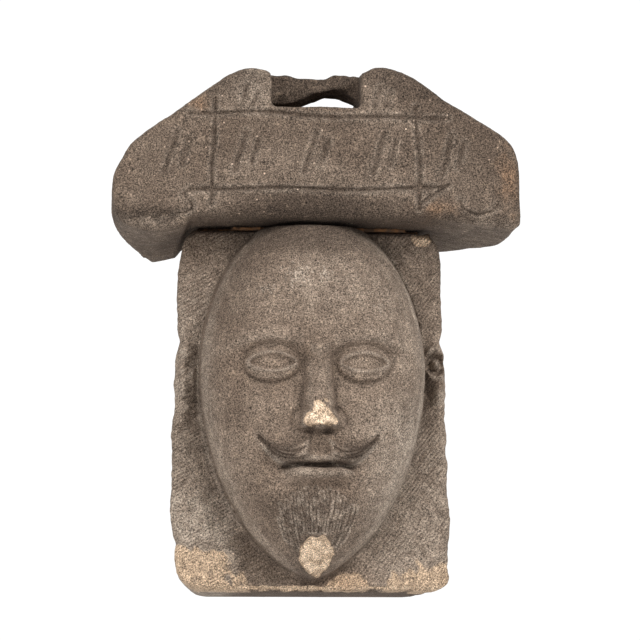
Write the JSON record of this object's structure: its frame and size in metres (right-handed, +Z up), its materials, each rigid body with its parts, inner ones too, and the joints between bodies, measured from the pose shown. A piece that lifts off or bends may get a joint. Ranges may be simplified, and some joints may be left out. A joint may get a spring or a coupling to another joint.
{
  "type": "carved stone corbel",
  "caption": "Stone wall corbel of a tapering block carved with a bearded man's head in high relief, under a wide gabled cap stone with a slot below a thin bridge.",
  "frame": {"origin": "middle of the block's flat back face, where it is built into the wall", "axes": "+Z up, -Y out of the wall, the way the carved head looks, +X to the viewer's right"},
  "size_m": [0.341, 0.2434, 0.4386],
  "materials": {
    "block_stone": "weathered grey-brown sandstone, finely pitted, with pale fresh breaks",
    "bedding_mortar": "rough ochre lime mortar",
    "cap_stone": "weathered dark grey-brown sandstone, pitted and stained"
  },
  "bodies": {
    "root": {"head_block": "block_stone", "mortar_bed": "bedding_mortar", "cap_stone": "cap_stone"}
  },
  "joints": []
}
